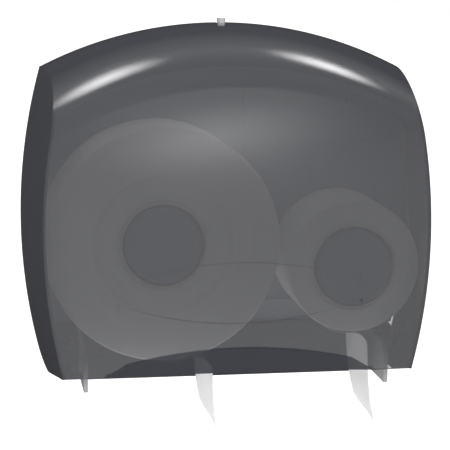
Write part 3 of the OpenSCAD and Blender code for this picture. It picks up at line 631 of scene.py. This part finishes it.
def cover_skin(s, columns=128):
    """bmesh of the cover: its outer face, the same face moved in by the wall, and the rim between them."""
    bm = bmesh.new()
    inside = bm.verts.layers.float_vector.new("inside")
    scoop = bm.verts.layers.float.new("scoop")
    bands = [band for band, _ in front_rows()]
    panels = zip(cover_panels(s, columns), cover_panels(inner_sizes(s), columns))
    for number, (outer, inner) in enumerate(panels):
        for vert, i, j in grid_corners(bm, outer[0], outer[1]):
            vert.co = outer[2](i, j)
            vert[inside] = inner[2](i, j)
            if number == 0 and bands[j] == 0 and arch_height(s, vert.co.x) > SCOOP_ARCH:
                vert[scoop] = 1.0
    bmesh.ops.remove_doubles(bm, verts=bm.verts[:], dist=2e-5)
    bmesh.ops.dissolve_degenerate(bm, edges=bm.edges[:], dist=1e-6)
    bmesh.ops.recalc_face_normals(bm, faces=bm.faces[:])
    if sum(f.normal.y * f.calc_area() for f in bm.faces) > 0:
        bmesh.ops.reverse_faces(bm, faces=bm.faces[:])
    for edge in bm.edges:
        if len(edge.link_faces) == 2 and edge.calc_face_angle() > math.radians(12):
            edge.smooth = False
    copy = bmesh.ops.duplicate(bm, geom=bm.verts[:] + bm.edges[:] + bm.faces[:])["geom"]
    for vert in moved_verts(copy):
        vert.co = vert[inside]
    bmesh.ops.reverse_faces(bm, faces=[item for item in copy if isinstance(item, bmesh.types.BMFace)])
    rims = [edge for edge in bm.edges if edge.is_boundary]
    bmesh.ops.bridge_loops(bm, edges=rims)
    for edge in rims:
        edge.smooth = False
    return bm


class DISPENSER_OT_cover(bpy.types.Operator):
    """Builds the see-through cover with its hinge ears"""

    bl_idname = "dispenser.cover"
    bl_label = "Cover"

    def execute(self, context):
        s = context.scene.dispenser_cover
        smoke = smoke_material(context.scene.dispenser_finish)
        shell = finish_mesh(cover_skin(s), "cover_shell", "cover", smoke)
        self.cut_slot(shell, s)
        soften(shell, s.edge_w)
        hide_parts("cover")
        self.ears(s, smoke)
        self.corner_webs(s, smoke)
        return {"FINISHED"}

    def cut_slot(self, shell, s):
        """Cuts the slot that the lock's head passes, open to the back."""
        bm = bmesh.new()
        past_wall = 0.005
        centre = place(0, s.lock_d, s.top_h, s.lip_z)
        bmesh.ops.create_cone(bm, cap_ends=True, segments=40, radius1=s.slot_r, radius2=s.slot_r,
                              depth=s.slot_cut, matrix=Matrix.Translation(centre))
        for vert in bm.verts:
            if vert.co.y > centre.y:
                vert.co.y += s.lock_d + past_wall
        cutter = new_object(bm, "slot_cutter")
        modifier(shell, "BOOLEAN", "slot", operation="DIFFERENCE", object=cutter, solver="EXACT")
        apply_modifiers(shell)
        bpy.data.objects.remove(cutter)

    def ears(self, s, smoke):
        """Tubes inside the sides that hold the hinge bushes."""
        wall_x = half_width(s, 0, s.hinge_d) - s.wall
        inner_x, outer_x = wall_x - s.ear_l, wall_x + s.ear_sink
        outline = [(s.ear_hole_r, inner_x), (s.ear_r, inner_x), (s.ear_r, outer_x), (s.ear_hole_r, outer_x)]
        for side, label in ((-1, "left"), (1, "right")):
            bm = bmesh.new()
            corners = [(side * x, r - s.hinge_d, s.lip_z) for r, x in outline]
            spin_outline(bm, corners, (0, -s.hinge_d, s.lip_z), (1, 0, 0), 64)
            ear = finish_mesh(bm, f"cover_ear_{label}", "cover", smoke, smooth=False)
            soften(ear, s.ear_edge_w)

    def corner_webs(self, s, smoke):
        """Flat webs across the inside of the lower front corners."""
        inner = inner_sizes(s)
        axis_h = inner.top_h - inner.top_r
        back = inner.depth - s.web_l
        columns, rows, above_lip = 8, 6, 0.0001
        for side, label in ((-1, "left"), (1, "right")):
            bm = bmesh.new()
            for vert, i, j in grid_corners(bm, columns, rows):
                x, d = s.web_x, back
                for _ in range(6):
                    d = back + (crown_depth(inner, math.hypot(x, axis_h)) - back) * i / columns
                    x = s.web_x + (half_width(inner, 0, d) - s.web_x) * j / rows
                vert.co = place(side * x, d, s.web_t, s.lip_z)
            for vert in moved_verts(bmesh.ops.extrude_face_region(bm, geom=bm.faces[:])["geom"]):
                vert.co.z = s.lip_z + above_lip
            bmesh.ops.recalc_face_normals(bm, faces=bm.faces[:])
            finish_mesh(bm, f"cover_web_{label}", "cover", smoke, smooth=False)


# ---------------------------------------------------------------- rolls and hanging paper


def roll_facts(node):
    """(axle as a point at the wall, radius, front depth, back depth) of a roll's CAD node."""
    low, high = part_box(node)
    axle = Vector(((low.x + high.x) / 2, 0, (low.z + high.z) / 2))
    return axle, (high.x - low.x) / 2, -low.y, -high.y


class DISPENSER_OT_rolls(bpy.types.Operator):
    """Builds the two wound paper rolls"""

    bl_idname = "dispenser.rolls"
    bl_label = "Paper rolls"

    def execute(self, context):
        s = context.scene.dispenser_rolls
        finish = context.scene.dispenser_finish
        for name in ("jumbo", "stub"):
            axle, outer, front, back = roll_facts(f"{name}_roll")
            core_low, core_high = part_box(f"{name}_core")
            inner = (core_high.x - core_low.x) / 2
            paper = tissue_material(f"{name}_tissue", finish, rings_at=(axle.x, axle.z))
            bm = bmesh.new()
            corners = [(axle.x + r, -d, axle.z) for r, d in self.outline(s, inner, outer, front, back)]
            spin_outline(bm, corners, axle, (0, 1, 0), 192)
            for vert in bm.verts:
                self.ripple(vert, s, axle, inner, outer)
            roll = finish_mesh(bm, f"{name}_paper", f"{name}_reel", paper)
            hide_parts(f"{name}_roll")
        return {"FINISHED"}

    def outline(self, s, inner, outer, front, back):
        """Closed outline of a roll's section, with rounded outer edges and stepped ends."""
        steps = max(6, int((outer - inner) / s.ring_gap))
        shoulder_r = outer - s.edge_r
        radii = [inner + (shoulder_r - inner) * k / steps for k in range(1, steps)]
        bend = [math.pi / 2 * k / 4 for k in range(5)]
        points = [(inner, back), (inner, front)]
        points += [(r, front - s.ripple * (0.5 + 0.5 * math.sin(k * 2.4))) for k, r in enumerate(radii, 1)]
        points += [(shoulder_r + s.edge_r * math.sin(a), front - s.edge_r * (1 - math.cos(a))) for a in bend]
        points += [(shoulder_r + s.edge_r * math.cos(a), back + s.edge_r * (1 - math.sin(a))) for a in bend]
        points += reversed([(r, back + s.ripple * (0.5 + 0.5 * math.sin(k * 1.9)))
                            for k, r in enumerate(radii, 1)])
        return points

    def ripple(self, vert, s, axle, inner, outer):
        """Makes the wound surface slightly uneven; it only ever draws in."""
        away = vert.co - axle
        r = math.hypot(away.x, away.z)
        if r < (inner + outer) / 2:
            return
        angle = math.atan2(away.z, away.x)
        wave = 0.5 + 0.3 * math.sin(3 * angle + 40 * vert.co.y) + 0.2 * math.sin(7 * angle + 1.3)
        scale = 1 - s.ripple * wave / r
        vert.co.x = axle.x + away.x * scale
        vert.co.z = axle.z + away.z * scale


class DISPENSER_OT_tails(bpy.types.Operator):
    """Builds the hanging end of each roll's paper"""

    bl_idname = "dispenser.tails"
    bl_label = "Hanging paper"

    lap_gap = 0.0007  # metres from the roll to the middle of the lapped sheet
    lap_steps = 12
    bend_steps = 16
    fall_steps = 32

    def execute(self, context):
        s = context.scene.dispenser_rolls
        lip_z = context.scene.dispenser_cover.lip_z
        paper = tissue_material("hanging_tissue", context.scene.dispenser_finish)
        for name, out, skew in (("jumbo", s.jumbo_out, s.jumbo_skew), ("stub", s.stub_out, s.stub_skew)):
            axle, outer, front, back = roll_facts(f"{name}_roll")
            path = self.path(s, axle, outer, axle.x + out, lip_z)
            self.sheet(s, name, path, front, back, skew, lip_z, paper)
        return {"FINISHED"}

    def path(self, s, axle, radius, exit_x, lip_z):
        """Points (x, z) of the sheet's middle from the roll to below the longest drop."""
        lap_r = radius + self.lap_gap
        turn = math.acos((exit_x - axle.x - s.bend_r) / (lap_r + s.bend_r))
        bend = Vector((exit_x - s.bend_r, axle.z - (lap_r + s.bend_r) * math.sin(turn)))
        points = []
        for k in range(self.lap_steps):
            a = -turn - s.lap / lap_r * (1 - k / self.lap_steps)
            points.append((axle.x + lap_r * math.cos(a), axle.z + lap_r * math.sin(a)))
        for k in range(self.bend_steps):
            a = (math.pi - turn) * (1 - k / self.bend_steps)
            points.append((bend.x + s.bend_r * math.cos(a), bend.y + s.bend_r * math.sin(a)))
        fall = math.asin((bend.y - lip_z + s.drop) / s.curl_r)
        for k in range(self.fall_steps + 1):
            a = fall * k / self.fall_steps
            points.append((exit_x + s.curl_r * (1 - math.cos(a)), bend.y - s.curl_r * math.sin(a)))
        return points

    def sheet(self, s, name, path, front, back, skew, lip_z, paper):
        """One hanging sheet with a torn end, skewed a little from back to front."""
        across, last = 24, len(path) - 1
        first_hang = self.lap_steps + self.bend_steps
        bm = bmesh.new()
        for vert, i, j in grid_corners(bm, across, last):
            share = i / across
            x, z = path[j]
            turned = min(1.0, max(0.0, (j - self.lap_steps) / self.bend_steps))
            x += skew * (2 * share - 1) * turned * turned * (3 - 2 * turned)
            if j > first_hang:
                hang = (j - first_hang) / (last - first_hang)
                z += s.back_rise * (1 - share) * hang
                x += s.sway * math.sin(9 * share + 2.2) * hang
            if j == last:
                z += s.tear * (1 + math.sin(i * 2.6) + 0.6 * math.sin(i * 5.1))
            vert.co = (x, -back - (front - back) * share, max(z, lip_z - s.drop))
        bmesh.ops.recalc_face_normals(bm, faces=bm.faces[:])
        piece = finish_mesh(bm, f"{name}_hanging_sheet", "chassis", paper)
        modifier(piece, "SOLIDIFY", "thickness", thickness=s.thickness, offset=0.0)
        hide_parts(f"{name}_tail")


# ---------------------------------------------------------------- knock-out webs


class DISPENSER_OT_webs(bpy.types.Operator):
    """Closes the wall screw holes with the thin webs that a screw is driven through"""

    bl_idname = "dispenser.webs"
    bl_label = "Knock-out webs"

    def execute(self, context):
        s = context.scene.dispenser_plate
        material = moulded("web_plastic", context.scene.dispenser_finish.plate, 0.5)
        bm = bmesh.new()
        turn = Matrix.Rotation(math.pi / 2, 4, "X")
        for x in (-s.gap_x / 2, s.gap_x / 2):
            for z in (-s.gap_z / 2, s.gap_z / 2):
                bmesh.ops.create_cone(bm, cap_ends=True, segments=40, radius1=s.hole_r, radius2=s.hole_r,
                                      depth=s.web_t, matrix=Matrix.Translation((x, -s.web_d, z)) @ turn)
        webs = finish_mesh(bm, "knock_out_webs", "chassis", material, smooth=False)
        soften(webs, s.edge_w, segments=1)
        return {"FINISHED"}


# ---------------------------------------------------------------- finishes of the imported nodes


class DISPENSER_OT_finishes(bpy.types.Operator):
    """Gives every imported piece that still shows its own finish"""

    bl_idname = "dispenser.finishes"
    bl_label = "Finishes"

    def execute(self, context):
        f = context.scene.dispenser_finish
        materials = {
            "plate": moulded("plate_plastic", f.plate, 0.55, height=0.000003),
            "dark_plastic": moulded("dark_plastic", f.dark, 0.45, dust=0.04),
            "hub_plastic": moulded("hub_plastic", f.hub, 0.40, grain=900, height=0.000003, dust=0.03),
            "tear_plastic": moulded("tear_plastic", f.fin, 0.45, grain=700, dust=0.02),
            "nylon": moulded("bush_nylon", f.nylon, 0.35, grain=500, height=0.00002, dust=0.0),
            "rubber": moulded("pad_rubber", f.rubber, 0.70, grain=600, height=0.00008, dust=0.08),
            "steel": steel_material(f),
            "cardboard": board_material(f),
        }
        blackened = moulded("blackened_steel", f.dark, 0.35, grain=500, dust=0.02)
        slots = {row["node"]: row["material_slot"] for row in frame["record"]["subparts"]}
        for name, node in NODES.items():
            if slots[name] not in materials:
                continue
            node.data.materials.clear()
            node.data.materials.append(blackened if name == "apron_screws" else materials[slots[name]])
        return {"FINISHED"}


# ---------------------------------------------------------------- studio


def lamp(name, where, target, power):
    """A wide area lamp that faces a point and stays out of reflections."""
    data = bpy.data.lights.new(name, "AREA")
    data.shape = "RECTANGLE"
    data.size, data.size_y = 1.2, 0.8
    data.energy = power
    made = bpy.data.objects.new(name, data)
    bpy.context.scene.collection.objects.link(made)
    made.location = where
    made.rotation_euler = (Vector(target) - made.location).to_track_quat("-Z", "Y").to_euler()
    made.visible_glossy = False


def seen_mask(tree):
    """Output that is 1 for what the camera, reflections and clear pieces see."""
    path = add_node(tree, "ShaderNodeLightPath")
    mask = path.outputs["Is Camera Ray"]
    for label in ("Is Glossy Ray", "Is Transmission Ray"):
        either = add_node(tree, "ShaderNodeMath", operation="MAXIMUM")
        tree.links.new(mask, either.inputs[0])
        tree.links.new(path.outputs[label], either.inputs[1])
        mask = either.outputs[0]
    return mask


class DISPENSER_OT_studio(bpy.types.Operator):
    """Sets up the camera, the lamps, the pale floor and the even background"""

    bl_idname = "dispenser.studio"
    bl_label = "Studio"

    # name, place, point that it faces, watts
    soft_lamps = (
        ("light_left", (-0.56, 0.38, 1.62), (0, -0.1, 0.1), 9),
        ("light_right", (0.84, 0.48, 1.56), (0, -0.1, 0.1), 9),
        ("light_front", (-0.6, -2.6, 1.4), (0, -0.1, 0.1), 16),
        ("light_low", (-1.3, -1.5, -0.4), (0, -0.06, -0.2), 8),
    )
    # name, place, half width and height, shade at the foot and at the top, whether it lies flat
    dark_cards = (
        ("card_back", (0, 1.0, 0.25), (2.4, 1.75), (0.03, 1.0), False),
        ("card_low", (0, -0.6, -0.75), (2.4, 1.4), (0.03, 0.03), True),
    )
    # name, place, point that it faces, half width and height, strength in the middle, tilt in degrees
    glow_cards = (
        ("box_left", (-0.60, 0.32, 1.62), (-0.12, -0.12, 0.14), (0.64, 0.36), 14, 0),
        ("box_right", (0.83, 0.44, 1.56), (0.09, -0.12, 0.14), (0.60, 0.30), 14, 0),
        ("card_front", (0.38, -3.0, 0.045), (0.38, 0, 0.045), (0.56, 0.09), 6, 6),
    )

    def execute(self, context):
        s = context.scene.dispenser_studio
        context.scene.view_settings.view_transform = "Standard"
        self.camera(context.scene, s)
        self.world(context.scene, s)
        self.floor(s)
        self.lamps()
        return {"FINISHED"}

    def camera(self, scene, s):
        """The camera, placed and turned by its settings."""
        data = bpy.data.cameras.new("camera")
        data.sensor_width = 36
        data.lens = s.lens_mm
        data.clip_start, data.clip_end = 0.05, 50
        camera = bpy.data.objects.new("camera", data)
        scene.collection.objects.link(camera)
        yaw, pitch, roll = (math.radians(v) for v in (s.yaw, s.pitch, s.roll))
        forward = Vector((math.sin(yaw) * math.cos(pitch), math.cos(yaw) * math.cos(pitch), -math.sin(pitch)))
        level = Vector((math.cos(yaw), -math.sin(yaw), 0))
        up = level.cross(forward)
        right = level * math.cos(roll) + up * math.sin(roll)
        above = up * math.cos(roll) - level * math.sin(roll)
        turn = Matrix((right, above, -forward)).transposed().to_4x4()
        camera.matrix_world = Matrix.Translation(s.eye) @ turn
        scene.camera = camera

    def world(self, scene, s):
        """Even light, with plain white seen directly, in reflections and through clear pieces."""
        world = bpy.data.worlds.new("studio")
        scene.world = world
        world.use_nodes = True
        tree = world.node_tree
        tree.nodes.clear()
        even = add_node(tree, "ShaderNodeBackground", Color=(1, 1, 1, 1), Strength=s.ambient)
        white = add_node(tree, "ShaderNodeBackground", Color=(1, 1, 1, 1), Strength=1.0)
        mix = add_node(tree, "ShaderNodeMixShader")
        out = add_node(tree, "ShaderNodeOutputWorld")
        tree.links.new(seen_mask(tree), mix.inputs[0])
        tree.links.new(even.outputs[0], mix.inputs[1])
        tree.links.new(white.outputs[0], mix.inputs[2])
        tree.links.new(mix.outputs[0], out.inputs["Surface"])

    def floor(self, s):
        """A pale floor that takes the object's shadow and is as pale as the background."""
        bm = bmesh.new()
        bmesh.ops.create_grid(bm, x_segments=1, y_segments=1, size=30,
                              matrix=Matrix.Translation((0, 0, s.floor_z)))
        floor = new_object(bm, "floor")
        coat = Coat("pale_floor", Base_Color=(*s.floor_shade, 1), Roughness=0.9, Specular_IOR_Level=0.0,
                    Emission_Color=(1, 1, 1, 1))
        lift = coat.add("ShaderNodeMath", operation="MULTIPLY")
        coat.link(seen_mask(coat.tree), lift.inputs[0])
        lift.inputs[1].default_value = s.floor_lift
        coat.link(lift.outputs[0], "Emission Strength")
        floor.data.materials.append(coat.material)

    def lamps(self):
        """The soft lamps, and the cards that only reflections see."""
        for name, where, target, power in self.soft_lamps:
            lamp(name, where, target, power)
        for name, centre, half, shades, lying in self.dark_cards:
            self.dark_card(name, centre, half, shades, lying)
        for name, centre, target, half, strength, tilt in self.glow_cards:
            self.glow_card(name, centre, target, half, strength, tilt)

    def dark_card(self, name, centre, half, shades, lying):
        """A dark card, upright or lying, that grows lighter towards its top."""
        turn = Matrix() if lying else Matrix.Rotation(math.pi / 2, 4, "X")
        coat, spot = self.card(name, half, Matrix.Translation(centre) @ turn)
        split = coat.add("ShaderNodeSeparateXYZ")
        coat.link(spot, split.inputs[0])
        coat.link(coat.between(split.outputs["Y"], *shades, start=0.3), "Emission Strength")

    def glow_card(self, name, centre, target, half, strength, tilt):
        """A card that faces a point and fades from its middle out to the even white."""
        turn = (Vector(centre) - Vector(target)).to_track_quat("Z", "Y").to_matrix().to_4x4()
        turn = turn @ Matrix.Rotation(math.radians(tilt), 4, "Z")
        coat, spot = self.card(name, half, Matrix.Translation(centre) @ turn)
        away = coat.add("ShaderNodeVectorMath", operation="LENGTH")
        coat.link(spot, away.inputs[0])
        fade = coat.between(away.outputs["Value"], 1.0 + strength, 1.0, curve="SMOOTHSTEP")
        coat.link(fade, "Emission Strength")

    def card(self, name, half, matrix):
        """(coat, places from -1 to 1 across it) of a flat black card that only reflections see."""
        bm = bmesh.new()
        spot = bm.verts.layers.float_vector.new("spot")
        bmesh.ops.create_grid(bm, x_segments=1, y_segments=1, size=1)
        for vert in bm.verts:
            vert[spot] = vert.co
            vert.co = matrix @ Vector((vert.co.x * half[0], vert.co.y * half[1], 0))
        card = new_object(bm, name)
        coat = Coat(name, Base_Color=(0, 0, 0, 1), Specular_IOR_Level=0.0, Emission_Color=(1, 1, 1, 1))
        card.data.materials.append(coat.material)
        for ray in ("camera", "diffuse", "transmission", "shadow"):
            setattr(card, f"visible_{ray}", False)
        return coat, coat.add("ShaderNodeAttribute", attribute_name="spot").outputs["Vector"]


# ---------------------------------------------------------------- panel and running


class DISPENSER_PT_panel(bpy.types.Panel):
    """Lists the pieces and the studio"""

    bl_idname = "DISPENSER_PT_panel"
    bl_label = "Roll dispenser"
    bl_space_type = "VIEW_3D"
    bl_region_type = "UI"
    bl_category = "Dispenser"

    def draw(self, context):
        for operator in OPERATORS:
            self.layout.operator(operator.bl_idname)
        for name, group in GROUPS.items():
            box = self.layout.box()
            box.label(text=group.__name__)
            for key in group.__annotations__:
                box.prop(getattr(context.scene, name), key)


OPERATORS = (DISPENSER_OT_studio, DISPENSER_OT_cover, DISPENSER_OT_rolls, DISPENSER_OT_tails,
             DISPENSER_OT_webs, DISPENSER_OT_finishes)
CLASSES = (*GROUPS.values(), *OPERATORS, DISPENSER_PT_panel)


def register():
    """Registers the settings, operators and panel."""
    for made in CLASSES:
        bpy.utils.register_class(made)
    for name, group in GROUPS.items():
        setattr(bpy.types.Scene, name, bpy.props.PointerProperty(type=group))


def unregister():
    """Takes the settings, operators and panel away again."""
    for name in GROUPS:
        delattr(bpy.types.Scene, name)
    for made in reversed(CLASSES):
        bpy.utils.unregister_class(made)


def main():
    """Builds everything in order."""
    register()
    bpy.ops.dispenser.studio()
    bpy.ops.dispenser.cover()
    bpy.ops.dispenser.rolls()
    bpy.ops.dispenser.tails()
    bpy.ops.dispenser.webs()
    bpy.ops.dispenser.finishes()
    bpy.context.view_layer.update()


if __name__ == "__main__":
    main()
